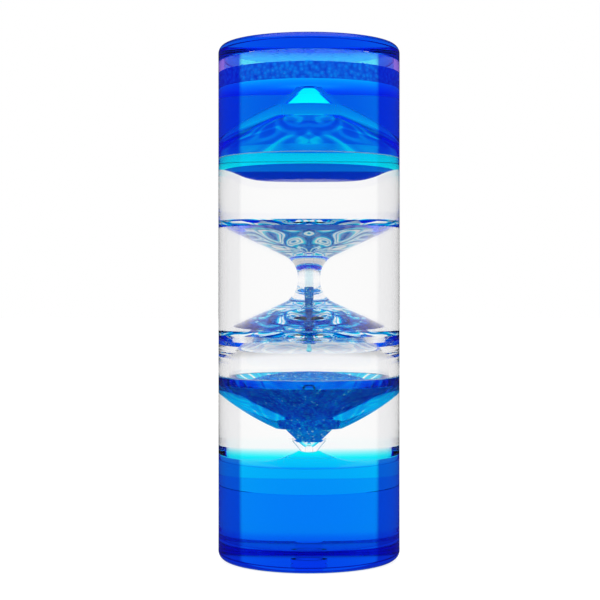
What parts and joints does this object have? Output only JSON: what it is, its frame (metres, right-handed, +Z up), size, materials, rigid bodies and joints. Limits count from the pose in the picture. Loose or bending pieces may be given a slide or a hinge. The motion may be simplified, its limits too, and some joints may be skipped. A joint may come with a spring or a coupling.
{
  "type": "liquid motion timer",
  "caption": "Clear cylindrical liquid motion timer with an hourglass, nozzle domes, blue liquids and a heap of blue glitter sealed inside.",
  "frame": {"origin": "middle of the underside, on the surface that the timer stands on", "axes": "+Z up along the tube's axis; the timer is the same all round, so X and Y have no natural direction"},
  "size_m": [0.05, 0.05, 0.1413],
  "materials": {
    "clear_acrylic": "clear polished acrylic",
    "tinted_acrylic": "polished acrylic with a blue tint",
    "bond_line": "clear bond line",
    "clear_liquid": "clear liquid",
    "deep_blue_liquid": "deep blue liquid",
    "bright_blue_liquid": "bright blue liquid",
    "froth": "blue froth of small bubbles",
    "glitter": "fine blue glitter"
  },
  "bodies": {
    "root": {"outer_tube": "clear_acrylic", "bottom_cap": "tinted_acrylic", "top_cap": "tinted_acrylic", "bottom_glue_ring": "bond_line", "top_glue_ring": "bond_line", "fill_plug": "tinted_acrylic", "upper_funnel": "clear_acrylic", "lower_funnel": "clear_acrylic", "upper_seam_ring": "bond_line", "lower_seam_ring": "bond_line", "upper_dome": "clear_acrylic", "lower_dome": "clear_acrylic", "upper_nozzle": "clear_acrylic", "lower_nozzle": "clear_acrylic", "upper_bulb_liquid": "clear_liquid", "upper_dome_liquid": "deep_blue_liquid", "upper_blue_liquid": "deep_blue_liquid", "upper_froth": "froth", "lower_blue_liquid": "bright_blue_liquid", "lower_clear_liquid": "clear_liquid", "glitter_heap": "glitter", "neck_thread": "bright_blue_liquid", "neck_glitter": "glitter", "outlet_drop": "bright_blue_liquid", "rising_drop": "clear_liquid", "falling_drop": "bright_blue_liquid"}
  },
  "joints": []
}
